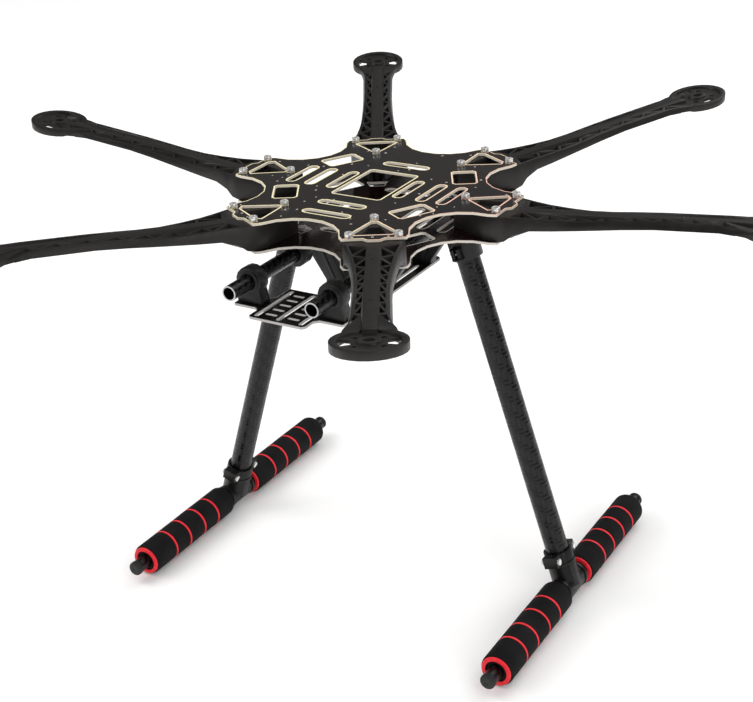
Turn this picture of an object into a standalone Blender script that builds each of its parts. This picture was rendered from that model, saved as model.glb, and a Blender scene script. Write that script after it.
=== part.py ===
"""Airframe of a six-arm multirotor: two decks, six lattice arms, skids, rail rods and two hung trays.

Metres, +Z up. The skids stand on the ground, the nose points to -Y and the decks are centred on the Z axis.
"""

import bmesh
import bpy
import numpy as np
from mathutils import Matrix, Vector
from mathutils.geometry import delaunay_2d_cdt

# Fits
GAP = 0.0003

# Decks: two laminate plates with the arm roots clamped between them
DECK_THICKNESS = 0.0015
TOP_DECK_TOP = 0.2850
DECK_SPACE = 0.0175
DECK_END_RADIUS = 0.100
DECK_END_HALF_WIDTH = 0.020
DECK_NUB = 0.003
DECK_NUB_HALF_WIDTH = 0.004
DECK_BITE_RADIUS = 0.031
DECK_BITE_CENTRE = 0.105
WINDOW_SIZE = (0.036, 0.052)
SLOT_LENGTH = 0.034
SLOT_WIDTH = 0.0062
SIDE_SLOT_PLACES = (0.0255, 0.0427, 0.0577)
CROSS_SLOT_PLACES = (0.042, -0.0424, -0.0613)
STRAP_HOLE_SIZE = (0.015, 0.025)
STRAP_HOLE_PLACE = (0.048, 0.036)
STRAP_HOLE_TURN = np.radians(30)
NOTCH_OUTER = 0.094
NOTCH_INNER = 0.0715
NOTCH_HALF_WIDTH = 0.014
NOTCH_TIP_HALF_WIDTH = 0.0018
NOTCH_CORNER = 0.003
WIRE_PORT = (0.0520, 0.0605)
WIRE_PORT_HALF_WIDTH = 0.0068

# Deck screws, three for each arm
SCREW_OUTER = 0.097
SCREW_SIDE = 0.01515
SCREW_INNER = 0.0676
SCREW_HEAD_RADIUS = 0.0028
SCREW_HEAD_HEIGHT = 0.0029
SCREW_RADIUS = 0.0015
SCREW_LENGTH = 0.010
SCREW_HOLE_RADIUS = 0.0018

# Arms: moulded lattice with a flat spine, deep side walls and a tilted motor disc
ARM_COUNT = 6
ARM_NAMES = ("right", "rear_right", "rear_left", "left", "front_left", "front_right")
ARM_TIP = 0.0615
ARM_NECK = 0.2565
ARM_NECK_HALF_WIDTH = 0.0140
MOTOR_RADIUS = 0.275
DISC_RADIUS = 0.0206
DISC_THICKNESS = 0.005
DISC_WEB = 0.0030
DISC_TILT = np.radians(8)
DISC_TOP = 0.2981
ARM_WALL = 0.0022
ARM_WEB = 0.0065
SPINE_HALF_WIDTH = 0.00375
SPINE_END = 0.261
BOSS_START = 0.2560
BAY_START = 0.1096
BAY_PITCH = 0.0187
BAY_COUNT = 7
RAIL_SET_BACK = 0.0046
STRUT_WIDTH = 0.0019
HUB_HOLE_RADIUS = 0.0032
HUB_RADIUS = 0.0062
HUB_SLOT_RADIUS = 0.0105
RIM_INNER_RADIUS = 0.0168
RIM_STEP = 0.0004
RECESS_DEPTH = 0.0012
FLARE_START = 0.1045
FLARE_END = 0.252
WALL_FLARE = 0.0014
POST_RADIUS = 0.0036
INNER_POST_RADIUS = 0.0042
CROSS_WALL = (0.1030, 0.1048, 0.0172)

# Rail rods under the lower deck
ROD_RADIUS = 0.005
ROD_BORE = 0.0041
ROD_SPACING = 0.061
ROD_HEIGHT = 0.2508
ROD_FRONT = -0.130
ROD_BACK = 0.100
RING_RADIUS = 0.0095
HANGER_LENGTH = 0.009
HANGER_PLACES = {"front": -0.052, "rear": 0.060}

# Gimbal tray at the nose
TRAY_THICKNESS = 0.0015
GIMBAL_TRAY_TOP = 0.2357
GIMBAL_TRAY_FRONT = -0.126
GIMBAL_TRAY_BACK = -0.078
TRAY_HALF_WIDTH = 0.021
WING_HALF_WIDTH = 0.041
WING_FRONT = -0.1125
WING_BACK = -0.096
TRAY_SLOT_PLACES = (-0.0165, 0.0, 0.0165)
TRAY_SLOT_WIDTH = 0.0026
CLAMP_LENGTH = 0.009
CLAMP_PLACE = -0.1045
CLAMP_FOOT_HALF_WIDTH = 0.0095

# Battery tray, hung lower behind it on four drop arms
BATTERY_TRAY_TOP = 0.2203
BATTERY_TRAY_FRONT = -0.032
BATTERY_TRAY_BACK = 0.046
DROP_ARM_PLACES = {"front": -0.026, "rear": 0.034}
DROP_ARM_LENGTH = 0.008
DROP_FOOT_PLACE = 0.0165
DROP_FOOT_HALF_WIDTH = 0.0075

# Landing gear
LEG_RADIUS = 0.008
LEG_BORE = 0.007
LEG_TOP_HALF_SPACING = 0.0638
LEG_TOP_HEIGHT = 0.2597
SKID_HALF_SPACING = 0.1426
SKID_HEIGHT = 0.0115
SKID_RADIUS = 0.005
SKID_BORE = 0.0042
SKID_FRONT = -0.122
SKID_BACK = 0.124
SOCKET_RADIUS = 0.0106
SOCKET_LENGTH = 0.028
SOCKET_RISE = 0.012
SOCKET_FLANGE = (0.030, 0.030, 0.003)
SOCKET_FLANGE_PLACE = 0.0623
SOCKET_TRIM = (0.1, 0.1, 0.02)
TEE_RADIUS = 0.0100
TEE_RISE = 0.027
TEE_SEAT = 0.0065
TEE_SLEEVE_RADIUS = 0.0088
TEE_HALF_LENGTH = 0.014
TEE_LUG = (0.0105, 0.029, 0.008)
FOAM_RADIUS = 0.0115
FOAM_LENGTH = 0.098
FOAM_FRONT = -0.113
FOAM_BACK = 0.017
FOAM_EDGE = 0.003
PLUG_HEAD_RADIUS = 0.0055
PLUG_HEAD_LENGTH = 0.004
PLUG_STEM_LENGTH = 0.010

LOWER_DECK_TOP = TOP_DECK_TOP - DECK_THICKNESS - DECK_SPACE
LOWER_DECK_BOTTOM = LOWER_DECK_TOP - DECK_THICKNESS
ARM_ROOT_TOP = TOP_DECK_TOP - DECK_THICKNESS - GAP
ARM_ROOT_BOTTOM = LOWER_DECK_TOP + GAP


def clear_scene():
    for old in list(bpy.data.objects):
        bpy.data.objects.remove(old, do_unlink=True)


def material(name, colour, roughness, metallic=0.0):
    made = bpy.data.materials.new(name)
    made.use_nodes = True
    shader = made.node_tree.nodes["Principled BSDF"]
    shader.inputs["Base Color"].default_value = (*colour, 1.0)
    shader.inputs["Roughness"].default_value = roughness
    shader.inputs["Metallic"].default_value = metallic
    made.diffuse_color = (*colour, 1.0)
    return made


def add_object(name, shape, surface, matrix=None, smooth=False):
    """Turns a finished bmesh into a named object, facing out."""
    bmesh.ops.recalc_face_normals(shape, faces=shape.faces)
    mesh = bpy.data.meshes.new(name)
    shape.to_mesh(mesh)
    shape.free()
    if smooth:
        mesh.shade_smooth()
    made = bpy.data.objects.new(name, mesh)
    made.matrix_world = matrix or Matrix.Identity(4)
    bpy.context.scene.collection.objects.link(made)
    if surface:
        mesh.materials.append(surface)
    return made


def arc(centre, radius, start, end, steps):
    """Points from angle start to angle end, both in degrees."""
    turns = np.radians(np.linspace(start, end, steps + 1))
    return [(centre[0] + radius * np.cos(t), centre[1] + radius * np.sin(t)) for t in turns]


def circle(centre, radius, steps):
    return arc(centre, radius, 0, 360 * (steps - 1) / steps, steps - 1)


def slot(centre, length, width, turn=0.0, steps=2):
    """A rounded slot whose long way lies along the angle turn."""
    half = (length - width) / 2
    shape = arc((half, 0), width / 2, -90, 90, steps) + arc((-half, 0), width / 2, 90, 270, steps)
    return turned(shape, turn, centre)


def rectangle(centre, size, turn=0.0, corner=0.0015, steps=1):
    x, y = size[0] / 2 - corner, size[1] / 2 - corner
    places = (((x, y), 0), ((-x, y), 90), ((-x, -y), 180), ((x, -y), 270))
    shape = [point for place, start in places for point in arc(place, corner, start, start + 90, steps)]
    return turned(shape, turn, centre)


def turned(points, turn, centre=(0.0, 0.0)):
    c, s = np.cos(turn), np.sin(turn)
    return [(centre[0] + c * x - s * y, centre[1] + s * x + c * y) for x, y in points]


def slab(outline, openings, thickness):
    """A flat plate from z = 0 up, with openings cut through it."""
    shape = bmesh.new()
    for loop in (outline, *openings):
        corners = [shape.verts.new((x, y, 0.0)) for x, y in loop]
        for a, b in zip(corners, corners[1:] + corners[:1]):
            shape.edges.new((a, b))
    bmesh.ops.triangle_fill(shape, edges=shape.edges, use_beauty=True, normal=(0, 0, 1))
    raised = bmesh.ops.extrude_face_region(shape, geom=shape.faces[:])
    top = [item for item in raised["geom"] if isinstance(item, bmesh.types.BMVert)]
    bmesh.ops.translate(shape, verts=top, vec=(0, 0, thickness))
    return shape


def across(place):
    """Stands a slab up: its x stays, its y becomes height and its thickness runs back from place."""
    swapped = Matrix(((1, 0, 0, 0), (0, 0, 1, 0), (0, 1, 0, 0), (0, 0, 0, 1)))
    return Matrix.Translation((0, place, 0)) @ swapped


def lathe(profile, steps):
    """Spins a closed profile of (radius, z) points round Z."""
    shape = bmesh.new()
    rings = []
    for turn in np.linspace(0, 2 * np.pi, steps, endpoint=False):
        rings.append([shape.verts.new((r * np.cos(turn), r * np.sin(turn), z)) for r, z in profile])
    for ring, following in zip(rings, rings[1:] + rings[:1]):
        for i in range(len(profile)):
            j = (i + 1) % len(profile)
            if profile[i][0] or profile[j][0]:
                shape.faces.new((ring[i], following[i], following[j], ring[j]))
    bmesh.ops.remove_doubles(shape, verts=shape.verts, dist=1e-7)
    return shape


def tube_profile(outer, inner, start, end):
    return [(inner, start), (outer, start), (outer, end), (inner, end)]


def box(size, centre=(0, 0, 0)):
    shape = bmesh.new()
    bmesh.ops.create_cube(shape, size=1.0)
    bmesh.ops.scale(shape, vec=size, verts=shape.verts)
    bmesh.ops.translate(shape, vec=centre, verts=shape.verts)
    return shape


def helper(name, shape, matrix=None):
    """A shape that only joins or cuts another one."""
    made = add_object(name, shape, None, matrix)
    made.hide_render = True
    made.display_type = "WIRE"
    return made


def combine(target, other, operation):
    step = target.modifiers.new(operation.lower(), "BOOLEAN")
    step.operation = operation
    step.solver = "EXACT"
    step.object = other


def relief(outline, openings, walls, folds, top, web, deep):
    """A moulding seen from above: a thin web with openings, and deeper where the walls run.

    top, web and deep each give the height of a surface at a point of the plan. Folds only bend the top.
    """
    loops = [outline, *openings, *walls, *folds]
    points = [Vector(point) for loop in loops for point in loop]
    faces = []
    for loop in loops:
        start = sum(len(face) for face in faces)
        faces.append(list(range(start, start + len(loop))))
    plan, _, triangles, _, _, origins = delaunay_2d_cdt(points, [], faces, 1, 1e-6)
    first_wall = 1 + len(openings)
    first_fold = first_wall + len(walls)
    kept = {}
    for triangle, origin in zip(triangles, origins):
        if 0 in origin and not any(0 < i < first_wall for i in origin):
            walled = any(first_wall <= i < first_fold for i in origin)
            kept[tuple(triangle)] = deep if walled else web
    shape = bmesh.new()
    made = {}
    levels = {}

    def corner(i, surface):
        if (i, surface) not in made:
            x, y = plan[i]
            made[i, surface] = shape.verts.new((x, y, surface(x, y)))
        return made[i, surface]

    across_edge = {}
    for triangle, floor in kept.items():
        shape.faces.new([corner(i, top) for i in triangle])
        shape.faces.new([corner(i, floor) for i in reversed(triangle)])
        for i, j in zip(triangle, triangle[1:] + triangle[:1]):
            across_edge[i, j] = floor
            levels.setdefault(i, {top}).add(floor)
            levels.setdefault(j, {top}).add(floor)
    order = (top, web, deep)
    for (i, j), floor in across_edge.items():
        ceiling = across_edge.get((j, i), top)
        if order.index(floor) <= order.index(ceiling):
            continue
        span = order[order.index(ceiling) : order.index(floor) + 1]
        left = [corner(i, s) for s in span if s in levels[i]]
        right = [corner(j, s) for s in span if s in levels[j]]
        while len(left) > 1 or len(right) > 1:
            if len(left) >= len(right):
                shape.faces.new((left[0], left[1], right[0]))
                left = left[1:]
            else:
                shape.faces.new((left[0], right[1], right[0]))
                right = right[1:]
    return shape


def deck_outline():
    """Six straight ends with a small nub each, joined by round bites."""
    meet = np.degrees(np.arcsin(DECK_END_HALF_WIDTH / DECK_BITE_CENTRE))
    outline = []
    for k in range(ARM_COUNT):
        end = [
            (DECK_END_RADIUS, -DECK_END_HALF_WIDTH),
            (DECK_END_RADIUS, -DECK_NUB_HALF_WIDTH - DECK_NUB),
            (DECK_END_RADIUS + DECK_NUB, -DECK_NUB_HALF_WIDTH),
            (DECK_END_RADIUS + DECK_NUB, DECK_NUB_HALF_WIDTH),
            (DECK_END_RADIUS, DECK_NUB_HALF_WIDTH + DECK_NUB),
            (DECK_END_RADIUS, DECK_END_HALF_WIDTH),
        ]
        turn = k * 2 * np.pi / ARM_COUNT
        outline += turned(end, turn)
        middle = turn + np.pi / ARM_COUNT
        centre = (DECK_BITE_CENTRE * np.cos(middle), DECK_BITE_CENTRE * np.sin(middle))
        towards = np.degrees(middle) + 180
        outline += arc(centre, DECK_BITE_RADIUS, towards + 78 - meet, towards - 78 + meet, 7)
    return outline


def screw_places(turn):
    local = [(SCREW_OUTER, SCREW_SIDE), (SCREW_OUTER, -SCREW_SIDE), (SCREW_INNER, 0.0)]
    return turned(local, turn)


def deck_openings(cross_slots):
    openings = []
    for side in (-1, 1):
        for place in SIDE_SLOT_PLACES:
            openings.append(slot((side * place, 0), SLOT_LENGTH, SLOT_WIDTH, np.pi / 2, 4))
    for place in cross_slots:
        openings.append(slot((0, place), SLOT_LENGTH, SLOT_WIDTH, 0.0, 4))
    for x in (-1, 1):
        for y in (-1, 1):
            place = (x * STRAP_HOLE_PLACE[0], y * STRAP_HOLE_PLACE[1])
            openings.append(rectangle(place, STRAP_HOLE_SIZE, x * y * STRAP_HOLE_TURN))
    return openings


def deck_notch(turn):
    """The three-cornered opening over an arm root."""
    side = NOTCH_OUTER - NOTCH_CORNER
    base = NOTCH_HALF_WIDTH - NOTCH_CORNER
    shape = [
        (NOTCH_INNER, -NOTCH_TIP_HALF_WIDTH),
        (side, -NOTCH_HALF_WIDTH),
        (NOTCH_OUTER, -base),
        (NOTCH_OUTER, base),
        (side, NOTCH_HALF_WIDTH),
        (NOTCH_INNER, NOTCH_TIP_HALF_WIDTH),
    ]
    return turned(shape, turn)


def wire_port(turn):
    """An opening in the lower deck, just short of an arm root, that widens towards the arm."""
    near, far = WIRE_PORT
    half = WIRE_PORT_HALF_WIDTH
    return turned([(near, -half * 0.7), (far, -half), (far, half), (near, half * 0.7)], turn)


def build_decks(surface):
    turns = [k * 2 * np.pi / ARM_COUNT for k in range(ARM_COUNT)]
    holes = [circle(place, SCREW_HOLE_RADIUS, 6) for turn in turns for place in screw_places(turn)]
    notches = [deck_notch(turn) for turn in turns]
    window = rectangle((0, 0), WINDOW_SIZE)
    top = slab(deck_outline(), [window, *deck_openings(CROSS_SLOT_PLACES), *notches, *holes], DECK_THICKNESS)
    lift = Matrix.Translation((0, 0, TOP_DECK_TOP - DECK_THICKNESS))
    add_object("top_deck", top, surface, lift)
    ports = [wire_port(turns[k]) for k in (1, 2, 4, 5)]
    low = slab(deck_outline(), [*ports, *deck_openings(CROSS_SLOT_PLACES[:2]), *notches, *holes], DECK_THICKNESS)
    add_object("lower_deck", low, surface, Matrix.Translation((0, 0, LOWER_DECK_BOTTOM)))


def half_width(r):
    """Half the width of an arm's top at distance r from the middle of the airframe, up to the motor disc."""
    places = (ARM_TIP, 0.090, 0.100, 0.105, 0.110, 0.120, 0.135, 0.150, 0.165, 0.180, 0.200, 0.240, 0.250)
    widths = (5.5, 18.5, 19.3, 18.1, 16.9, 14.9, 13.1, 11.8, 10.9, 10.3, 10.0, 10.4, 11.3)
    return float(np.interp(r, places, widths, right=ARM_NECK_HALF_WIDTH * 1000)) / 1000


def spine_height(r):
    """Level over the root, then a quick climb that eases off towards the motor disc."""
    places = (0.118, 0.135, 0.150, 0.165, 0.180, 0.200, 0.220, 0.240, 0.250, SPINE_END)
    rises = (0.0, 0.8, 2.2, 4.4, 6.9, 9.5, 11.7, 13.6, 14.2, 14.2)
    return ARM_ROOT_TOP + float(np.interp(r, places, rises)) / 1000


def rail_height(r):
    """The outer edge of the lattice, which slopes down from the spine more and more."""
    places = (0.118, 0.135, 0.150, 0.165, 0.180, 0.200, 0.220, 0.240, 0.250, 0.2585)
    rises = (0.0, 0.5, 1.3, 3.1, 5.4, 8.0, 10.0, 12.0, 12.4, 12.6)
    return ARM_ROOT_TOP + float(np.interp(r, places, rises)) / 1000


def disc_plane(x):
    return DISC_TOP + (x - MOTOR_RADIUS) * np.tan(DISC_TILT)


def arm_top(x, y):
    """A flat spine, lattice that slopes down beside it, and a tilted disc with a raised rim and hub."""
    if abs(y) < SPINE_HALF_WIDTH + 1e-6 and x < SPINE_END + 1e-6:
        return spine_height(x)
    reach = np.hypot(x - MOTOR_RADIUS, y)
    if reach < DISC_RADIUS + 1e-6:
        sunk = HUB_RADIUS + 1e-6 < reach < RIM_INNER_RADIUS - 1e-6
        return float(disc_plane(x)) - (RECESS_DEPTH if sunk else 0.0)
    share = (abs(y) - SPINE_HALF_WIDTH) / (half_width(x) - SPINE_HALF_WIDTH)
    return spine_height(x) + share * (rail_height(x) - spine_height(x))


def arm_web(x, y):
    """Struts nearly as deep as the walls, and a disc that is thin between its rim and its hub."""
    reach = np.hypot(x - MOTOR_RADIUS, y)
    if reach < DISC_RADIUS + 1e-6 and x > BOSS_START:
        thin = HUB_RADIUS + 1e-6 < reach < RIM_INNER_RADIUS - 1e-6
        return float(disc_plane(x)) - (DISC_WEB if thin else DISC_THICKNESS)
    thickness = float(np.interp(x, (0.235, BOSS_START), (ARM_WEB, DISC_THICKNESS)))
    return max(arm_top(x, y) - thickness, min(arm_deep(x, y) + RIM_STEP, arm_top(x, y) - DISC_WEB))


def arm_deep(x, y):
    """The foot of the side walls: full depth between the decks, a quick sweep up, then nearly even."""
    places = (0.103, 0.107, 0.110, 0.115, 0.120, 0.135, 0.150, 0.165, 0.180, 0.200, 0.220, 0.240, 0.252)
    heights = (266.3, 269.5, 272.2, 274.9, 275.7, 277.3, 279.4, 281.7, 284.2, 287.2, 289.5, 291.4, 291.6)
    return float(np.interp(x, places, heights)) / 1000


def inset(corners, margin):
    """Moves each side of a convex loop inwards by margin."""
    moved = []
    count = len(corners)
    lines = []
    for i in range(count):
        start, end = Vector(corners[i]), Vector(corners[(i + 1) % count])
        along = (end - start).normalized()
        inward = Vector((-along.y, along.x))
        lines.append((start + inward * margin, along))
    for i in range(count):
        (place, along), (other, heading) = lines[i - 1], lines[i]
        cross = along.x * heading.y - along.y * heading.x
        gap = other - place
        moved.append(tuple(place + along * ((gap.x * heading.y - gap.y * heading.x) / cross)))
    return moved


def lattice_openings():
    """Struts zigzag between spine and rail. Each rail joint is a little nearer the hub than its spine joint."""
    found = []
    for side in (-1, 1):
        spine = [(BAY_START + k * BAY_PITCH, side * SPINE_HALF_WIDTH) for k in range(BAY_COUNT + 1)]
        rail = []
        for k in range(BAY_COUNT + 2):
            r = BAY_START + k * BAY_PITCH - RAIL_SET_BACK
            rail.append((r, side * (half_width(r) - ARM_WALL + STRUT_WIDTH / 2)))
        triangles = [(spine[k], rail[k], rail[k + 1]) for k in range(BAY_COUNT + 1)]
        triangles += [(spine[k], spine[k + 1], rail[k + 1]) for k in range(BAY_COUNT)]
        found += [inset(counter_clockwise(list(triangle)), STRUT_WIDTH / 2) for triangle in triangles]
    return found


def counter_clockwise(loop):
    turn = sum(a[0] * b[1] - b[0] * a[1] for a, b in zip(loop, loop[1:] + loop[:1]))
    return loop if turn > 0 else loop[::-1]


def arm_plan():
    """One side of the arm from its inner end to the disc, mirrored for the other side."""
    stations = (ARM_TIP, 0.090, 0.100, 0.105, 0.110, 0.120, 0.135, 0.150, 0.165, 0.180, 0.200, 0.240)
    upper = [(r, half_width(r)) for r in stations] + [(0.2495, 0.0116), (ARM_NECK, ARM_NECK_HALF_WIDTH)]
    join = np.degrees(np.arctan2(0.0163, -0.0165))
    disc = arc((MOTOR_RADIUS, 0), DISC_RADIUS, join, -join, 20)
    return counter_clockwise([(x, -y) for x, y in upper] + disc[::-1] + upper[::-1])


def arm_walls():
    """The deep parts: both side walls, the three screw posts and the root's cross wall."""
    walls = []
    stations = (ARM_TIP, 0.090, 0.100, 0.105, 0.110, 0.120, 0.135, 0.150, 0.165, 0.180, 0.200, 0.240, 0.250)
    for side in (-1, 1):
        outer = [(r, side * half_width(r)) for r in stations]
        inner = [(r, side * (half_width(r) - ARM_WALL)) for r in stations]
        walls.append(counter_clockwise(outer + inner[::-1]))
        walls.append(circle((SCREW_OUTER, side * SCREW_SIDE), POST_RADIUS, 6))
    walls.append(circle((SCREW_INNER, 0), INNER_POST_RADIUS, 8))
    near, far, half = CROSS_WALL
    walls.append([(near, -half), (far, -half), (far, half), (near, half)])
    return walls


def arm_folds():
    """Where the top changes level: the spine's edges, the disc's rim and its hub."""
    half = SPINE_HALF_WIDTH
    spine = [(BAY_START, -half), (SPINE_END, -half), (SPINE_END, half), (BAY_START, half)]
    foot = SPINE_HALF_WIDTH + RIM_STEP
    near, far = BOSS_START, SPINE_END + RIM_STEP
    spine_foot = [(near, -foot), (far, -foot), (far, foot), (near, foot)]
    centre = (MOTOR_RADIUS, 0)
    rims = [circle(centre, r, 20) for r in (RIM_INNER_RADIUS, RIM_INNER_RADIUS - RIM_STEP)]
    hubs = [circle(centre, r, 12) for r in (HUB_RADIUS, HUB_RADIUS + RIM_STEP)]
    return [spine, spine_foot, *rims, *hubs]


def arm_openings():
    openings = lattice_openings()
    openings += [circle(place, SCREW_HOLE_RADIUS, 6) for place in screw_places(0)]
    openings.append([(0.0765, -0.0040), (0.0985, -0.0105), (0.0985, 0.0105), (0.0765, 0.0040)])
    openings.append(circle((MOTOR_RADIUS, 0), HUB_HOLE_RADIUS, 8))
    for turn in (45, 135, 225, 315):
        reach = np.radians(turn)
        across_slot, along_slot = HUB_SLOT_RADIUS * np.cos(reach), HUB_SLOT_RADIUS * np.sin(reach)
        openings.append(slot((MOTOR_RADIUS + across_slot, along_slot), 0.0065, 0.0034, reach, 1))
    for side in (-1, 1):
        wide = arc((MOTOR_RADIUS, 0), 0.0162, 90 * side - 20, 90 * side + 20, 2)
        narrow = arc((MOTOR_RADIUS, 0), 0.0100, 90 * side + 20, 90 * side - 20, 1)
        openings.append(wide + narrow)
    return openings


def flare(shape):
    """The side walls lean out as they go down, all along the lattice."""
    for corner in shape.verts:
        x, y, z = corner.co
        if FLARE_START < x < FLARE_END and abs(y) > SPINE_HALF_WIDTH + RIM_STEP:
            depth = (rail_height(x) - z) / (rail_height(x) - arm_deep(x, y))
            corner.co.y += np.sign(y) * WALL_FLARE * min(max(depth, 0.0), 1.0)


def build_arms(surface):
    for k, name in enumerate(ARM_NAMES):
        shape = relief(arm_plan(), arm_openings(), arm_walls(), arm_folds(), arm_top, arm_web, arm_deep)
        flare(shape)
        add_object(f"arm_{name}", shape, surface, Matrix.Rotation(k * 2 * np.pi / ARM_COUNT, 4, "Z"))


def build_screws(surface):
    head = SCREW_HEAD_RADIUS
    rise = GAP + SCREW_HEAD_HEIGHT
    profile = [
        (0, -SCREW_LENGTH),
        (SCREW_RADIUS, -SCREW_LENGTH),
        (SCREW_RADIUS, GAP),
        (head, GAP),
        (head * 0.9, rise),
        (0, rise),
    ]
    for k, name in enumerate(ARM_NAMES):
        for label, place in zip(("left", "right", "inner"), screw_places(k * 2 * np.pi / ARM_COUNT)):
            where = Matrix.Translation((*place, TOP_DECK_TOP))
            add_object(f"screw_{name}_{label}", lathe(profile, 8), surface, where)


def along_y(start, x, height):
    """Lays a lathed piece along Y, from start."""
    return Matrix.Translation((x, start, height)) @ Matrix.Rotation(-np.pi / 2, 4, "X")


def hanger_outline(x):
    """A flange against the lower deck, a short neck and a ring round the rod, drawn as (x, height)."""
    top = LOWER_DECK_BOTTOM - GAP
    ring = arc((x, ROD_HEIGHT), RING_RADIUS, 125, 415, 12)
    return [
        (x + 0.0052, top - 0.0028),
        (x + 0.0130, top - 0.0028),
        (x + 0.0130, top),
        (x - 0.0130, top),
        (x - 0.0130, top - 0.0028),
        (x - 0.0052, top - 0.0028),
        *ring,
    ]


def clamp_outline(x):
    """A ring round the rod that flares into a wide foot on the tray."""
    foot = GIMBAL_TRAY_TOP + GAP
    ring = arc((x, ROD_HEIGHT), RING_RADIUS, -35, 215, 11)
    half = CLAMP_FOOT_HALF_WIDTH
    return [(x - half, foot + 0.0025), (x - half, foot), (x + half, foot), (x + half, foot + 0.0025), *ring]


def drop_arm_outline(side):
    """A ring round the rod, a strut that leans in as it goes down, and a flat foot on the battery tray."""
    x = ROD_SPACING / 2
    foot = BATTERY_TRAY_TOP + GAP
    near = DROP_FOOT_PLACE - DROP_FOOT_HALF_WIDTH
    far = DROP_FOOT_PLACE + DROP_FOOT_HALF_WIDTH
    ring = arc((x, ROD_HEIGHT), RING_RADIUS, -30, 196, 10)
    shape = [(near, foot + 0.003), (near, foot), (far, foot), (far, foot + 0.003), *ring]
    return shape if side > 0 else [(-a, b) for a, b in shape]


def stand(outline, x, length, place):
    """Extrudes an (x, height) outline along Y round the rod at x, centred on place."""
    hole = circle((x, ROD_HEIGHT), ROD_RADIUS + GAP, 12)
    return slab(outline, [hole], length), across(place - length / 2)


def build_rails(tube, plastic, laminate):
    tray_slot = GIMBAL_TRAY_BACK - GIMBAL_TRAY_FRONT - 0.006
    for side, name in ((-1, "left"), (1, "right")):
        x = side * ROD_SPACING / 2
        rod = lathe(tube_profile(ROD_RADIUS, ROD_BORE, 0, ROD_BACK - ROD_FRONT), 20)
        add_object(f"rail_rod_{name}", rod, tube, along_y(ROD_FRONT, x, ROD_HEIGHT), smooth=True)
        for end, place in HANGER_PLACES.items():
            shape, where = stand(hanger_outline(x), x, HANGER_LENGTH, place)
            add_object(f"rod_hanger_{name}_{end}", shape, plastic, where)
        shape, where = stand(clamp_outline(x), x, CLAMP_LENGTH, CLAMP_PLACE)
        add_object(f"tray_clamp_{name}", shape, plastic, where)
        for end, place in DROP_ARM_PLACES.items():
            shape, where = stand(drop_arm_outline(side), x, DROP_ARM_LENGTH, place)
            add_object(f"drop_arm_{name}_{end}", shape, plastic, where)
    middle = (GIMBAL_TRAY_FRONT + GIMBAL_TRAY_BACK) / 2
    slots = [slot((x, middle), tray_slot, TRAY_SLOT_WIDTH, np.pi / 2, 3) for x in TRAY_SLOT_PLACES]
    tray = slab(gimbal_tray_outline(), slots, TRAY_THICKNESS)
    add_object("gimbal_tray", tray, laminate, Matrix.Translation((0, 0, GIMBAL_TRAY_TOP - TRAY_THICKNESS)))
    battery_middle = (BATTERY_TRAY_FRONT + BATTERY_TRAY_BACK) / 2
    battery_length = BATTERY_TRAY_BACK - BATTERY_TRAY_FRONT
    outline = rectangle((0, battery_middle), (2 * TRAY_HALF_WIDTH + 0.006, battery_length), 0.0, 0.004, 3)
    slots = [slot((0, battery_middle), battery_length - 0.016, TRAY_SLOT_WIDTH, np.pi / 2, 3)]
    for x in TRAY_SLOT_PLACES[::2]:
        slots.append(slot((x, battery_middle), 0.036, TRAY_SLOT_WIDTH, np.pi / 2, 3))
    tray = slab(outline, slots, TRAY_THICKNESS)
    add_object("battery_tray", tray, laminate, Matrix.Translation((0, 0, BATTERY_TRAY_TOP - TRAY_THICKNESS)))


def gimbal_tray_outline():
    """A slotted tongue with a wing on each side under the clamps."""
    right = [
        (TRAY_HALF_WIDTH - 0.002, GIMBAL_TRAY_FRONT),
        (TRAY_HALF_WIDTH, GIMBAL_TRAY_FRONT + 0.002),
        (TRAY_HALF_WIDTH, WING_FRONT - 0.003),
        (TRAY_HALF_WIDTH + 0.003, WING_FRONT),
        (WING_HALF_WIDTH - 0.001, WING_FRONT),
        (WING_HALF_WIDTH, WING_FRONT + 0.001),
        (WING_HALF_WIDTH, WING_BACK - 0.001),
        (WING_HALF_WIDTH - 0.001, WING_BACK),
        (TRAY_HALF_WIDTH + 0.003, WING_BACK),
        (TRAY_HALF_WIDTH, WING_BACK + 0.003),
        (TRAY_HALF_WIDTH, GIMBAL_TRAY_BACK),
    ]
    return right + [(-x, y) for x, y in right[::-1]]


def leg_frame(side):
    """Origin where the leg axis leaves the socket, Z down the leg towards the skid axis."""
    top = Vector((side * LEG_TOP_HALF_SPACING, 0, LEG_TOP_HEIGHT))
    foot = Vector((side * SKID_HALF_SPACING, 0, SKID_HEIGHT))
    down = (foot - top).normalized()
    across_leg = Vector((0, 1, 0))
    frame = Matrix((across_leg.cross(down), across_leg, down)).transposed().to_4x4()
    return Matrix.Translation(top) @ frame, (foot - top).length


def build_socket(name, side, surface):
    frame, _ = leg_frame(side)
    top = LOWER_DECK_BOTTOM - GAP
    sleeve = lathe(tube_profile(SOCKET_RADIUS, 0, -SOCKET_RISE, SOCKET_LENGTH - SOCKET_RISE), 24)
    body = add_object(f"leg_socket_{name}", sleeve, surface, frame)
    centre = (side * SOCKET_FLANGE_PLACE, 0, top - SOCKET_FLANGE[2] / 2)
    combine(body, helper(f"socket_flange_{name}", box(SOCKET_FLANGE, centre)), "UNION")
    above = box(SOCKET_TRIM, (side * LEG_TOP_HALF_SPACING, 0, top + SOCKET_TRIM[2] / 2))
    combine(body, helper(f"socket_trim_{name}", above), "DIFFERENCE")
    bore = lathe(tube_profile(LEG_RADIUS + GAP, 0, -GAP, SOCKET_LENGTH), 24)
    combine(body, helper(f"socket_bore_{name}", bore, frame), "DIFFERENCE")


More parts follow.
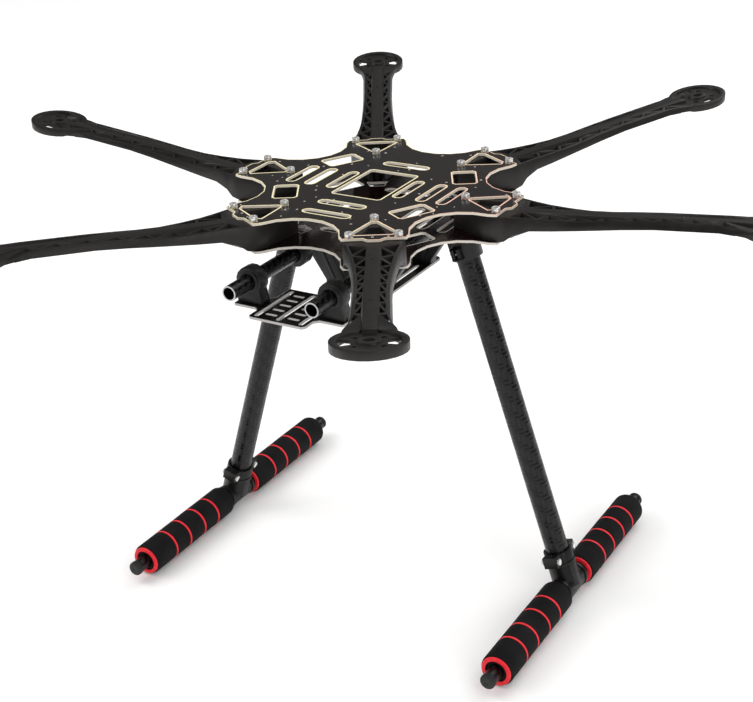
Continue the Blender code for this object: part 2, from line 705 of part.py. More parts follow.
def build_tee(name, side, surface):
    frame, length = leg_frame(side)
    x = side * SKID_HALF_SPACING
    top = length - TEE_RISE
    riser = lathe(tube_profile(TEE_RADIUS, 0, top, length), 24)
    body = add_object(f"leg_tee_{name}", riser, surface, frame)
    sleeve = lathe(tube_profile(TEE_SLEEVE_RADIUS, 0, 0, 2 * TEE_HALF_LENGTH), 20)
    lying = along_y(-TEE_HALF_LENGTH, x, SKID_HEIGHT)
    combine(body, helper(f"tee_sleeve_{name}", sleeve, lying), "UNION")
    lug = box(TEE_LUG, (0, 0, top + TEE_LUG[2] / 2))
    combine(body, helper(f"tee_lug_{name}", lug, frame), "UNION")
    socket = lathe(tube_profile(LEG_RADIUS + GAP, 0, top - TEE_LUG[2], length - TEE_SEAT), 24)
    combine(body, helper(f"tee_socket_{name}", socket, frame), "DIFFERENCE")
    bore = lathe(tube_profile(SKID_RADIUS + GAP, 0, 0, 4 * TEE_HALF_LENGTH), 20)
    through = along_y(-2 * TEE_HALF_LENGTH, x, SKID_HEIGHT)
    combine(body, helper(f"tee_bore_{name}", bore, through), "DIFFERENCE")


def build_landing_gear(tube, plastic, foam, rubber):
    for side, name in ((-1, "left"), (1, "right")):
        frame, length = leg_frame(side)
        x = side * SKID_HALF_SPACING
        build_socket(name, side, plastic)
        build_tee(name, side, plastic)
        leg = lathe(tube_profile(LEG_RADIUS, LEG_BORE, 0, length - TEE_SEAT - GAP), 24)
        add_object(f"leg_tube_{name}", leg, tube, frame, smooth=True)
        skid = lathe(tube_profile(SKID_RADIUS, SKID_BORE, 0, SKID_BACK - SKID_FRONT), 20)
        add_object(f"skid_tube_{name}", skid, tube, along_y(SKID_FRONT, x, SKID_HEIGHT), smooth=True)
        for end, start in (("front", FOAM_FRONT), ("rear", FOAM_BACK)):
            profile = [
                (SKID_RADIUS + GAP, 0),
                (FOAM_RADIUS - 0.001, 0),
                (FOAM_RADIUS, 0.001),
                (FOAM_RADIUS, FOAM_LENGTH - FOAM_EDGE),
                (FOAM_RADIUS - FOAM_EDGE, FOAM_LENGTH),
                (SKID_RADIUS + GAP, FOAM_LENGTH),
            ]
            add_object(f"foam_grip_{name}_{end}", lathe(profile, 16), foam, along_y(start, x, SKID_HEIGHT))
        plug = [
            (0, -PLUG_HEAD_LENGTH),
            (PLUG_HEAD_RADIUS - 0.001, -PLUG_HEAD_LENGTH),
            (PLUG_HEAD_RADIUS, -PLUG_HEAD_LENGTH + 0.001),
            (PLUG_HEAD_RADIUS, -GAP),
            (SKID_BORE - GAP, -GAP),
            (SKID_BORE - GAP, PLUG_STEM_LENGTH),
            (0, PLUG_STEM_LENGTH),
        ]
        add_object(f"end_plug_{name}_front", lathe(plug, 10), rubber, along_y(SKID_FRONT, x, SKID_HEIGHT))
        back = Matrix.Translation((x, SKID_BACK, SKID_HEIGHT)) @ Matrix.Rotation(np.pi / 2, 4, "X")
        add_object(f"end_plug_{name}_rear", lathe(plug, 10), rubber, back)


clear_scene()
laminate = material("glossy_laminate", (0.035, 0.022, 0.020), 0.15)
tray_laminate = material("tray_laminate", (0.012, 0.012, 0.013), 0.30)
nylon = material("moulded_nylon", (0.022, 0.021, 0.021), 0.42)
steel = material("screw_steel", (0.62, 0.61, 0.60), 0.25, 1.0)
carbon = material("carbon_tube", (0.020, 0.020, 0.022), 0.25)
foam_rubber = material("grip_foam", (0.012, 0.012, 0.012), 0.85)
plug_rubber = material("plug_rubber", (0.035, 0.036, 0.037), 0.60)
build_decks(laminate)
build_arms(nylon)
build_screws(steel)
build_rails(carbon, nylon, tray_laminate)
build_landing_gear(carbon, nylon, foam_rubber, plug_rubber)
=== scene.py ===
"""Looks of a bare six-arm multirotor airframe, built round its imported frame. Metres, +Z up, nose at -Y."""

import math
import random

import bmesh
import bpy
from mathutils import Matrix, Vector
from mathutils.geometry import delaunay_2d_cdt


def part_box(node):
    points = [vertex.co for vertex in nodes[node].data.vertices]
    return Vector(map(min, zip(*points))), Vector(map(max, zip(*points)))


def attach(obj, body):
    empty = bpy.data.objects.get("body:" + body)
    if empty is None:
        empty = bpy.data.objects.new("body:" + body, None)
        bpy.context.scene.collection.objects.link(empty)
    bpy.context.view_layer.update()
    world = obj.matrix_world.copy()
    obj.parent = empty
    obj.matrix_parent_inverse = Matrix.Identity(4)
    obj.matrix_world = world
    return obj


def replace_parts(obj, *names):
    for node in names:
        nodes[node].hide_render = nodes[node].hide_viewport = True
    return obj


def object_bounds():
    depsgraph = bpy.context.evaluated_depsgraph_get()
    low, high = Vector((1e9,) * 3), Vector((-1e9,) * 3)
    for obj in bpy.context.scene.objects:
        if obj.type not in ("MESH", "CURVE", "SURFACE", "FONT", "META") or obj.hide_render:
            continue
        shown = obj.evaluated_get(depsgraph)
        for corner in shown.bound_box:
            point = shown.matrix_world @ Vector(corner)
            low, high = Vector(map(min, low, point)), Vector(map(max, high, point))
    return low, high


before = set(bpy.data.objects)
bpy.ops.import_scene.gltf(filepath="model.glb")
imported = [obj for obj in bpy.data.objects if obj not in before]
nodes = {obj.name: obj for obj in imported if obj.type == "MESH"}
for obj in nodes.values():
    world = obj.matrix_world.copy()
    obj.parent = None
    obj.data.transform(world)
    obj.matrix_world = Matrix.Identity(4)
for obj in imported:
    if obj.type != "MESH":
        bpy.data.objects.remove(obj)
frame_box = [[float(value) for value in corner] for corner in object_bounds()]


# --- Lower deck -----------------------------------------------------------------------------------
# A 1.5 mm glass laminate plate with a dark glossy lacquer on both faces. Its outline and openings are
# routed, which leaves the pale laminate bare on the cut edges and a bright line where the lacquer stops.


class Value:
    """A shader value that takes part in ordinary sums."""

    def __init__(self, finish, socket):
        self.finish = finish
        self.socket = socket

    def math(self, operation, *values):
        return self.finish.node("ShaderNodeMath", {"operation": operation}, values)

    def __add__(self, other):
        return self.math("ADD", self, other)

    def __radd__(self, other):
        return self.math("ADD", other, self)

    def __sub__(self, other):
        return self.math("SUBTRACT", self, other)

    def __rsub__(self, other):
        return self.math("SUBTRACT", other, self)

    def __mul__(self, other):
        return self.math("MULTIPLY", self, other)

    def __rmul__(self, other):
        return self.math("MULTIPLY", other, self)

    def __truediv__(self, other):
        return self.math("DIVIDE", self, other)

    def __mod__(self, other):
        return self.math("FLOORED_MODULO", self, other)

    def __lt__(self, other):
        return self.math("LESS_THAN", self, other)

    def __gt__(self, other):
        return self.math("GREATER_THAN", self, other)

    def __abs__(self):
        return self.math("ABSOLUTE", self)


class Finish:
    """A material, with its nodes made and joined by plain calls."""

    def __init__(self, name):
        self.material = bpy.data.materials.new(name)
        self.material.use_nodes = True
        self.tree = self.material.node_tree
        self.surface = self.tree.nodes["Principled BSDF"]

    def join(self, value, socket):
        if isinstance(value, Value):
            self.tree.links.new(value.socket, socket)
        elif socket.type == "RGBA":
            socket.default_value = (*value, 1.0)
        else:
            socket.default_value = value

    def node(self, kind, settings, inputs=(), output=0):
        made = self.tree.nodes.new(kind)
        for name, value in settings.items():
            setattr(made, name, value)
        for key, value in inputs.items() if isinstance(inputs, dict) else enumerate(inputs):
            self.join(value, made.inputs[key])
        if output == 0:
            return Value(self, made.outputs[0])
        return Value(self, next(found for found in made.outputs if output in (found.identifier, found.name)))

    def place(self):
        return self.node("ShaderNodeTexCoord", {}, output="Object")

    def parts(self, vector):
        made = self.node("ShaderNodeSeparateXYZ", {}, [vector])
        return [Value(self, socket) for socket in made.socket.node.outputs]

    def along(self, vector, direction):
        settings = {"operation": "DOT_PRODUCT"}
        return self.node("ShaderNodeVectorMath", settings, [vector, tuple(direction)], "Value")

    def noise(self, vector, scale, detail=3.0, roughness=0.5):
        inputs = {"Vector": vector, "Scale": scale, "Detail": detail, "Roughness": roughness}
        return self.node("ShaderNodeTexNoise", {}, inputs)

    def span(self, value, low, high, start=0.0, end=1.0):
        """start where value is at low, end where it is at high, and straight between them."""
        return self.node("ShaderNodeMapRange", {}, [value, low, high, start, end])

    def mix(self, factor, first, second):
        inputs = {0: factor, 6: first, 7: second}
        return self.node("ShaderNodeMix", {"data_type": "RGBA"}, inputs, "Result_Color")

    def bump(self, height, distance, strength=1.0):
        return self.node("ShaderNodeBump", {}, {"Height": height, "Distance": distance, "Strength": strength})

    def give(self, **values):
        """Sets the surface's inputs, with each name written in lower case and underscores."""
        sockets = {socket.name.lower().replace(" ", "_"): socket for socket in self.surface.inputs}
        for name, value in values.items():
            self.join(value, sockets[name])
        return self


def lacquered_laminate(name, deep, warm, cut_edge, gloss):
    """Glass cloth under dark lacquer, with the bare laminate showing on cut edges."""
    finish = Finish(name)
    spot = finish.place()
    x, y, z = finish.parts(spot)
    normal = finish.node("ShaderNodeTexCoord", {}, output="Normal")
    upright = abs(finish.parts(normal)[2])
    cut = upright < 0.5
    weave = 7800.0
    cloth = x.math("SINE", x * weave) * y.math("SINE", y * weave)
    cloud = finish.noise(spot, 26.0, 4.0, 0.55)
    scuff = finish.noise(spot, 900.0, 2.0, 0.6)
    plies = z.math("SINE", z * 18000.0)
    lacquer = finish.mix(finish.span(cloud, 0.35, 0.68), deep, warm)
    fibres = finish.mix(finish.span(plies + scuff, 0.0, 1.6), cut_edge, tuple(0.55 * c for c in cut_edge))
    height = cut * plies + (1.0 - cut) * cloth * 0.25
    finish.give(
        base_color=finish.mix(cut, lacquer, fibres),
        roughness=finish.span(cloud + scuff * 0.3, 0.4, 0.9, gloss, gloss + 0.10) + cut * 0.45,
        specular_ior_level=0.40,
        coat_weight=(1.0 - cut) * 0.18,
        coat_roughness=0.08,
        normal=finish.bump(height, 0.00002, 0.35),
    )
    return finish


def bare_line(name, pale, rose):
    """The line along a routed edge where the lacquer stops: bright copper, gold and rose by turns, drifting
    to rose towards +X as a painted reflection tint.
    """
    finish = Finish(name)
    spot = finish.place()
    cloud = finish.noise(spot, 30.0, 2.0, 0.5)
    fleck = finish.noise(spot, 1500.0, 3.0, 0.7)
    # painted reflection tint: the colour moves from pale to rose as X grows, with a little noise mixed in
    reflection_tint = finish.span(finish.parts(spot)[0] + cloud * 0.05, 0.045, 0.095)
    finish.give(
        base_color=finish.mix(reflection_tint, pale, rose),
        metallic=0.10,
        roughness=finish.span(fleck, 0.3, 0.7, 0.24, 0.42),
        normal=finish.bump(fleck, 0.00003, 0.4),
    )
    return finish


def piece(name, shape, finish, body, sharp=32.0):
    """One visible mesh that moves with a body of the frame."""
    mesh = bpy.data.meshes.new(name)
    bmesh.ops.recalc_face_normals(shape, faces=shape.faces)
    shape.to_mesh(mesh)
    shape.free()
    mesh.shade_smooth()
    mesh.set_sharp_from_angle(angle=math.radians(sharp))
    made = bpy.data.objects.new(name, mesh)
    bpy.context.scene.collection.objects.link(made)
    mesh.materials.append(finish.material)
    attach(made, body)
    return made


def dress(name, finish, bevel=0.0):
    """Gives a frame node its finish, and softens its edges where bevel isn't 0."""
    node = nodes[name]
    node.data.materials.clear()
    node.data.materials.append(finish.material)
    if bevel:
        node.data.shade_smooth()
        weld = node.modifiers.new("weld", "WELD")
        weld.merge_threshold = 0.000002
        soften = node.modifiers.new("soften", "BEVEL")
        soften.width = bevel
        soften.segments = 2
        soften.limit_method = "ANGLE"
        soften.angle_limit = math.radians(38)
        soften.harden_normals = True
    return node


def top_outlines(name):
    """The closed outlines of a flat plate's upper face, with the plate on the left of each."""
    mesh = nodes[name].data
    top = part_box(name)[1].z
    ends = set()
    for face in mesh.polygons:
        if face.normal.z > 0.9 and abs(face.center.z - top) < 0.0001:
            corners = [mesh.vertices[i].co for i in face.vertices]
            spots = [(round(corner.x, 6), round(corner.y, 6)) for corner in corners]
            ends.update(zip(spots, spots[1:] + spots[:1]))
    onward = {start: end for start, end in ends if (end, start) not in ends}
    outlines = []
    while onward:
        start, spot = onward.popitem()
        outline = [start]
        while spot in onward:
            outline.append(spot)
            spot = onward.pop(spot)
        outlines.append([Vector(spot) for spot in outline])
    return outlines, top


def moved_in(outline, distance):
    """The outline drawn again at a distance inside the plate."""
    moved = []
    for i, spot in enumerate(outline):
        before = (spot - outline[i - 1]).normalized()
        after = (outline[(i + 1) % len(outline)] - spot).normalized()
        first = Vector((-before.y, before.x))
        second = Vector((-after.y, after.x))
        moved.append(spot + (first + second) * distance / max(1.0 + first.dot(second), 0.6))
    return moved


def area_of(outline):
    """Area inside an outline, in square metres."""
    return abs(sum(a[0] * b[1] - b[0] * a[1] for a, b in zip(outline, outline[1:] + outline[:1]))) / 2


def line_round(shape, outline, level, near, far, rise):
    """Adds to a mesh a raised line along an outline, between two distances inside the plate."""
    sink = 0.00003
    rows = []
    for distance, height in ((near, -sink), (near, rise), (far, rise), (far, -sink)):
        rows.append([shape.verts.new((*spot, level + height)) for spot in moved_in(outline, distance)])
    for low, high in zip(rows, rows[1:] + rows[:1]):
        for i in range(len(outline)):
            j = (i + 1) % len(outline)
            shape.faces.new((low[i], low[j], high[j], high[i]))


def edge_lines(name, node, finish, body, width, rim_width):
    """A thin raised line just inside every outline of a plate, of its own width round the plate's rim."""
    margin = 0.0001
    outlines, top = top_outlines(node)
    rim = max(outlines, key=area_of)
    shape = bmesh.new()
    for outline in outlines:
        far = margin + (rim_width if outline is rim else width)
        line_round(shape, outline, top, margin, far, 0.00005)
    return piece(name, shape, finish, body)


deck_lacquer = lacquered_laminate(
    "deck lacquer",
    deep=(0.006, 0.003, 0.003),
    warm=(0.018, 0.007, 0.005),
    cut_edge=(0.74, 0.69, 0.62),
    gloss=0.10,
)
dress("lower_deck", deck_lacquer)
low_line = bare_line("lower deck line", pale=(0.86, 0.82, 0.76), rose=(0.84, 0.70, 0.64))
edge_lines("lower_deck_lines", "lower_deck", low_line, "airframe", 0.0006, 0.0004)


# --- Arms -----------------------------------------------------------------------------------------
# Six injection-moulded nylon arms, glass filled, with a satin skin. A flat spine runs over a zigzag lattice
# between deep side walls, and ends in a boss on the tilted disc that carries the motor.


def moulded_nylon(name, dark, light, gloss):
    """Satin black nylon: a fine spark-eroded grain, faint flow marks, and a painted highlight on sharp convex
    edges.
    """
    finish = Finish(name)
    spot = finish.place()
    grain = finish.noise(spot, 2600.0, 3.0, 0.65)
    flow = finish.noise(spot, 38.0, 3.0, 0.5)
    smear = finish.noise(spot, 210.0, 4.0, 0.6)
    # painted highlight: sharply convex edges (high pointiness) are lightened towards three times the light
    # tone
    edge_highlight = finish.span(finish.node("ShaderNodeNewGeometry", {}, output="Pointiness"), 0.52, 0.60)
    skin = finish.mix(finish.span(flow, 0.35, 0.70), dark, light)
    finish.give(
        base_color=finish.mix(edge_highlight * 0.35, skin, tuple(3.0 * c for c in light)),
        roughness=finish.span(smear + grain * 0.4, 0.45, 0.95, gloss, gloss + 0.14),
        specular_ior_level=0.30,
        normal=finish.bump(grain + smear * 0.5, 0.00006, 0.35),
    )
    return finish


arm_count = 6
arm_names = ("right", "rear_right", "rear_left", "left", "front_left", "front_right")
arm_nylon = moulded_nylon("arm nylon", (0.0050, 0.0044, 0.0042), (0.0105, 0.0090, 0.0085), 0.34)
for arm in arm_names:
    dress(f"arm_{arm}", arm_nylon, 0.00025)


def turn(profile, steps, closed=False, place=None):
    """Turns (radius, height) points about Z. A radius may be a function of the angle."""
    shape = bmesh.new()
    rings = []
    for radius, height in profile:
        if not callable(radius) and radius < 1e-7:
            rings.append([shape.verts.new((0.0, 0.0, height))])
            continue
        ring = []
        for i in range(steps):
            angle = math.tau * i / steps
            reach = radius(angle) if callable(radius) else radius
            ring.append(shape.verts.new((reach * math.cos(angle), reach * math.sin(angle), height)))
        rings.append(ring)
    pairs = list(zip(rings, rings[1:]))
    if closed:
        pairs.append((rings[-1], rings[0]))
    for low, high in pairs:
        for i in range(steps):
            j = (i + 1) % steps
            corners = (low[i % len(low)], low[j % len(low)], high[j % len(high)], high[i % len(high)])
            corners = list(dict.fromkeys(corners))
            if len(corners) > 2:
                shape.faces.new(corners)
    if place is not None:
        shape.transform(place)
    return shape


def spine_level(name, distance, turned):
    """Height of an arm's spine at a distance from the middle of the airframe."""
    overhead = turned @ Vector((distance, 0.0, 0.4))
    return nodes[name].ray_cast(overhead, Vector((0.0, 0.0, -1.0)))[1].z


pip_places = (0.135, 0.214)
pip_stretch = Matrix.Diagonal((0.7, 1.25, 1.0, 1.0))
pip_profile = [(0.0, -0.0002), (0.0011, -0.0002), (0.0011, 0.0001), (0.0007, 0.0003), (0.0, 0.00034)]
for index, arm in enumerate(arm_names):
    turned = Matrix.Rotation(math.tau * index / arm_count, 4, "Z")
    for order, distance in enumerate(pip_places):
        level = spine_level(f"arm_{arm}", distance, turned)
        place = turned @ Matrix.Translation((distance, 0.0, level)) @ pip_stretch
        pip = turn(pip_profile, 16, place=place)
        piece(f"arm_pip_{arm}_{order}", pip, arm_nylon, "airframe")


# --- Top deck -------------------------------------------------------------------------------------
# The same lacquered laminate as the lower deck, laid over the arm roots. Copper shows as a gold line round
# every opening, and small tinned pads are scattered over the plate for power leads.

top_lacquer = lacquered_laminate(
    "top lacquer",
    deep=(0.005, 0.0035, 0.003),
    warm=(0.013, 0.008, 0.006),
    cut_edge=(0.78, 0.71, 0.60),
    gloss=0.18,
)
dress("top_deck", top_lacquer)
gold_line = bare_line("top deck line", pale=(1.0, 0.90, 0.58), rose=(0.98, 0.62, 0.50))
edge_lines("top_deck_lines", "top_deck", gold_line, "airframe", 0.0010, 0.0006)


def tinned(name):
    """Solder: bright tin with a slightly crazed, dull skin."""
    finish = Finish(name)
    spot = finish.place()
    skin = finish.noise(spot, 1400.0, 4.0, 0.6)
    finish.give(
        base_color=finish.mix(finish.span(skin, 0.3, 0.7), (0.80, 0.76, 0.68), (0.62, 0.56, 0.48)),
        metallic=0.60,
        roughness=finish.span(skin, 0.3, 0.7, 0.22, 0.48),
        normal=finish.bump(skin, 0.00005, 0.5),
    )
    return finish


def clear_of(outlines, spot):
    """Distance from a spot to the nearest outline of a plate."""
    nearest = 1.0
    for outline in outlines:
        for start, end in zip(outline, outline[1:] + outline[:1]):
            run = end - start
            share = min(max((spot - start).dot(run) / max(run.length_squared, 1e-12), 0.0), 1.0)
            nearest = min(nearest, (start + run * share - spot).length)
    return nearest


def on_plate(outlines, spot):
    """Whether a spot is on the plate's material: inside an odd number of its outlines."""
    crossings = 0
    for outline in outlines:
        for start, end in zip(outline, outline[1:] + outline[:1]):
            if (start.y > spot.y) != (end.y > spot.y):
                crossings += start.x + (spot.y - start.y) * (end.x - start.x) / (end.y - start.y) > spot.x
    return crossings % 2 == 1


solder = tinned("solder")
pad_count = 46
pad_margin = 0.0021
pad_gap = 0.009
draw = random.Random(8)
deck_outlines, deck_level = top_outlines("top_deck")
pads = []
while len(pads) < pad_count:
    spot = Vector((draw.uniform(-0.1, 0.1), draw.uniform(-0.1, 0.1)))
    if not on_plate(deck_outlines, spot) or clear_of(deck_outlines, spot) < pad_margin:
        continue
    if all((spot - other).length > pad_gap * draw.uniform(0.5, 1.0) for other in pads):
        pads.append(spot)
for order, spot in enumerate(pads):
    size = draw.uniform(0.00045, 0.00085)
    stretch = Matrix.Diagonal((draw.uniform(1.0, 1.6), 1.0, 1.0, 1.0))
    turned = Matrix.Rotation(draw.uniform(0.0, math.pi), 4, "Z")
    place = Matrix.Translation((*spot, deck_level)) @ turned @ stretch
    dome = [
        (0.0, -0.00005),
        (size, -0.00005),
        (size, 0.00006),
        (0.8 * size, 0.00016),
        (0.4 * size, 0.00024),
        (0.0, 0.00026),
    ]
    piece(f"deck_pad_{order}", turn(dome, 16, place=place), solder, "airframe")


# --- Deck screws ----------------------------------------------------------------------------------
# Three stainless socket-head screws clamp each arm root between the decks. They are turned, with a hexagon
# socket pressed into the head, and a plain stem shows for a moment under each head.


def bright_steel(name):
    """Stainless steel, turned: a few scratches and a faintly clouded tone."""
    finish = Finish(name)
    spot = finish.place()
    scratch = finish.noise(spot, 1900.0, 5.0, 0.7)
    cloud = finish.noise(spot, 160.0, 2.0, 0.5)
    finish.give(
        base_color=finish.mix(cloud, (0.74, 0.73, 0.71), (0.88, 0.87, 0.85)),
        metallic=0.65,
        roughness=finish.span(scratch, 0.3, 0.75, 0.16, 0.34),
        normal=finish.bump(scratch, 0.00003, 0.3),
    )
    return finish


def hexagon(flat):
    """Radius of a hexagonal socket at an angle, from its centre to the flats."""
    return lambda angle: flat / math.cos((angle + math.pi / 6) % (math.pi / 3) - math.pi / 6)


def socket_screw(head, rise, stem, depth, place):
    """A socket-head screw that stands on the origin: head above it, stem below it."""
    profile = [
        (0.0, -depth),
        (stem * 0.8, -depth),
        (stem, -depth + 0.0003),
        (stem, 0.0),
        (head * 0.96, 0.0),
        (head, 0.08 * rise),
        (head, 0.82 * rise),
        (head * 0.93, 0.95 * rise),
        (head * 0.84, rise),
        (hexagon(head * 0.50), rise),
        (hexagon(head * 0.45), rise - 0.00012),
        (hexagon(head * 0.45), 0.4 * rise),
        (0.0, 0.3 * rise),
    ]
    return turn(profile, 36, place=place)


steel = bright_steel("screw steel")
seat_gap = 0.0003
for arm in arm_names:
    for label in ("left", "right", "inner"):
        name = f"screw_{arm}_{label}"
        low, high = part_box(name)
        radius = (high.x - low.x) / 2
        middle = (low + high) / 2
        seat = deck_level + seat_gap
        turned = Matrix.Rotation(draw.uniform(0.0, 1.0), 4, "Z")
        place = Matrix.Translation((middle.x, middle.y, seat)) @ turned
        shape = socket_screw(radius, high.z - seat, 0.0015, seat - low.z, place)
        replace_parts(piece(f"{name}_turned", shape, steel, "airframe"), name)


# --- Rail rods and their hangers ------------------------------------------------------------------
# Two pultruded carbon rods with a fine twill wrap run fore and aft under the lower deck. Each is held by
# two moulded hangers, screwed up into the deck, with a rubber ring between hanger and rod.


def carbon_twill(name, origin, axis, radius, tow, gloss, relief):
    """Two-over-two twill wrapped round a tube, under clear resin, with a painted sheen on the lengthwise tows
    and painted shade at every tow's edges.
    """
    finish = Finish(name)
    axis = Vector(axis).normalized()
    side = axis.orthogonal().normalized()
    up = axis.cross(side)
    offset = finish.node("ShaderNodeVectorMath", {"operation": "SUBTRACT"}, [finish.place(), tuple(origin)])
    along = finish.along(offset, axis)
    first = finish.along(offset, side)
    turn_angle = first.math("ARCTAN2", finish.along(offset, up), first)
    rows = round(math.tau * radius / tow / 4) * 4
    u = along / tow
    v = turn_angle * (rows / math.tau)
    column = u.math("FLOOR", u)
    row = v.math("FLOOR", v)
    over = ((column + row) % 4.0) < 1.5
    lengthwise = 1.0 - abs((v % 1.0) - 0.5) * 2.0
    crosswise = 1.0 - abs((u % 1.0) - 0.5) * 2.0
    bulge = over * lengthwise + (1.0 - over) * crosswise
    fibre_run = over * v + (1.0 - over) * u
    fibre = fibre_run.math("SINE", fibre_run * 40.0)
    cloud = finish.noise(finish.place(), 60.0, 3.0, 0.5)
    # painted sheen: tows lying lengthwise on top are about seven times lighter than the crosswise ones
    tow_sheen = finish.mix(over, (0.0012, 0.0012, 0.0015), (0.0085, 0.0082, 0.0090))
    finish.give(
        # painted shade: each tow darkens to near black towards its edges, where the bulge falls away
        base_color=finish.mix(finish.span(bulge, 0.0, 0.5), (0.001, 0.001, 0.001), tow_sheen),
        roughness=over * 0.16 + finish.span(cloud + fibre * 0.08, 0.3, 0.8, gloss, gloss + 0.10),
        specular_ior_level=0.30,
        coat_weight=0.05,
        coat_roughness=0.12,
        normal=finish.bump(bulge + fibre * 0.06, 0.00016, relief),
    )
    return finish


def tube(outer, bore, length, chamfer, place):
    """A tube along Z from the origin, with its ends broken."""
    profile = [
        (outer - chamfer, 0.0),
        (outer, chamfer),
        (outer, length - chamfer),
        (outer - chamfer, length),
        (bore + chamfer, length),
        (bore, length - chamfer),
        (bore, chamfer),
        (bore + chamfer, 0.0),
    ]
    return turn(profile, 72, closed=True, place=place)


def lying(x, y, z):
    """Turns Z to run back along +Y, from a point."""
    return Matrix.Translation((x, y, z)) @ Matrix.Rotation(-math.pi / 2, 4, "X")


def matt_rubber(name, dark, light):
    """Moulded rubber: dull, slightly dusty and a little uneven."""
    finish = Finish(name)
    spot = finish.place()
    dust = finish.noise(spot, 420.0, 4.0, 0.6)
    pores = finish.noise(spot, 3200.0, 2.0, 0.5)
    finish.give(
        base_color=finish.mix(finish.span(dust, 0.4, 0.75), dark, light),
        roughness=finish.span(dust, 0.3, 0.7, 0.55, 0.72),
        normal=finish.bump(pores + dust * 0.4, 0.00005, 0.4),
    )
    return finish


def ring_round(outer, inner, length, rounding, place):
    """A rounded ring along Z, centred on the origin."""
    half = length / 2
    middle = (outer + inner) / 2
    reach = (outer - inner) / 2
    profile = []
    for corner in range(12):
        angle = math.tau * (corner + 0.5) / 12
        across = math.copysign(min(abs(math.cos(angle)) * rounding, 1.0), math.cos(angle))
        lengthwise = math.copysign(min(abs(math.sin(angle)) * rounding, 1.0), math.sin(angle))
        profile.append((middle + reach * across, half * lengthwise))
    return turn(profile, 48, closed=True, place=place)


rubber = matt_rubber("plug rubber", (0.007, 0.007, 0.0075), (0.020, 0.0195, 0.019))
hanger_nylon = moulded_nylon("fitting nylon", (0.0040, 0.0038, 0.0038), (0.0085, 0.0080, 0.0078), 0.32)
hand_names = {-1: "left", 1: "right"}
end_names = {-1: "front", 1: "rear"}
aft = (0.0, 1.0, 0.0)


def axis_of(name):
    """Place (x, z) and radius of a round piece that lies fore and aft."""
    low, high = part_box(name)
    return (low.x + high.x) / 2, (low.z + high.z) / 2, (high.z - low.z) / 2


def head_down(x, y, z):
    """Turns Z to point down, from a point."""
    return Matrix.Translation((x, y, z)) @ Matrix.Rotation(math.pi, 4, "X")


def rubber_ring(holder, rod, body, outer, spare, rounding):
    """A rubber ring between a rod and the piece that holds it, a little longer than that piece."""
    x, z, radius = axis_of(rod)
    low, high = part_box(holder)
    place = lying(x, (low.y + high.y) / 2, z)
    ring = ring_round(outer, radius + 0.0001, high.y - low.y + spare, rounding, place)
    return piece(f"{holder}_rubber", ring, rubber, body)


def fitting_screw(name, body, place, head=0.0019, rise=0.0013, stem=0.0010, depth=0.0010):
    """A small socket-head screw in one of the fittings."""
    return piece(name, socket_screw(head, rise, stem, depth, place), steel, body)


rod_bore = 0.0041
rod_tow = 0.0016
hanger_ring = 0.0070
hanger_screw_reach = 0.0098
hanger_plate = 0.0028
for side in ("left", "right"):
    rod = f"rail_rod_{side}"
    low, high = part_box(rod)
    rod_x, rod_z, rod_radius = axis_of(rod)
    twill = carbon_twill(f"rod twill {side}", (rod_x, 0.0, rod_z), aft, rod_radius, rod_tow, 0.20, 0.30)
    shape = tube(rod_radius, rod_bore, high.y - low.y, 0.00025, lying(rod_x, low.y, rod_z))
    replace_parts(piece(f"{rod}_wrapped", shape, twill, "rails"), rod)
    cut_tube = bare_line(f"rod cut end {side}", (0.50, 0.50, 0.50), (0.36, 0.36, 0.37))
    for end, y in (("front", low.y), ("rear", high.y)):
        lip = ring_round(rod_radius - 0.00005, rod_bore - 0.00002, 0.0003, 1.4, lying(rod_x, y, rod_z))
        piece(f"rail_rod_lip_{side}_{end}", lip, cut_tube, "rails")
    for end in ("front", "rear"):
        name = f"rod_hanger_{side}_{end}"
        dress(name, hanger_nylon, 0.0004)
        hanger_low, hanger_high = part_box(name)
        middle_y = (hanger_low.y + hanger_high.y) / 2
        rubber_ring(name, rod, "airframe", hanger_ring, 0.0012, 1.25)
        for hand in (-1, 1):
            seat = head_down(rod_x + hand * hanger_screw_reach, middle_y, hanger_high.z - hanger_plate)
            fitting_screw(f"{name}_screw_{hand_names[hand]}", "airframe", seat, rise=0.0014, depth=0.0025)


# --- Gimbal tray and its clamps -------------------------------------------------------------------
# A slotted plate at the nose, routed from the same sheet, matt on its faces and pale on its cut edges. Two
# moulded clamps with rubber rings grip the rods, and slide along them with the plate.


def plate(outline, openings, bottom, thickness):
    """A flat plate with straight openings through it, from outlines that run either way round."""
    loops = [outline, *openings]
    spots = [Vector(spot) for loop in loops for spot in loop]
    faces = []
    start = 0
    for loop in loops:
        turning = sum(a[0] * b[1] - b[0] * a[1] for a, b in zip(loop, loop[1:] + loop[:1]))
        run = list(range(start, start + len(loop)))
        faces.append(run if turning > 0 else run[::-1])
        start += len(loop)
    flat, _, triangles, _, _, origins = delaunay_2d_cdt(spots, [], faces, 0, 1e-7)
    shape = bmesh.new()
    lower = [shape.verts.new((*spot, bottom)) for spot in flat]
    upper = [shape.verts.new((*spot, bottom + thickness)) for spot in flat]
    kept = [tri for tri, origin in zip(triangles, origins) if list(origin) == [0]]
    ends = set()
    for triangle in kept:
        shape.faces.new([upper[i] for i in triangle])
        shape.faces.new([lower[i] for i in triangle[::-1]])
        ends.update(zip(triangle, triangle[1:] + triangle[:1]))
    for a, b in ends:
        if (b, a) not in ends:
            shape.faces.new((lower[a], lower[b], upper[b], upper[a]))
    for loose in [corner for corner in shape.verts if not corner.link_faces]:
        shape.verts.remove(loose)
    return shape


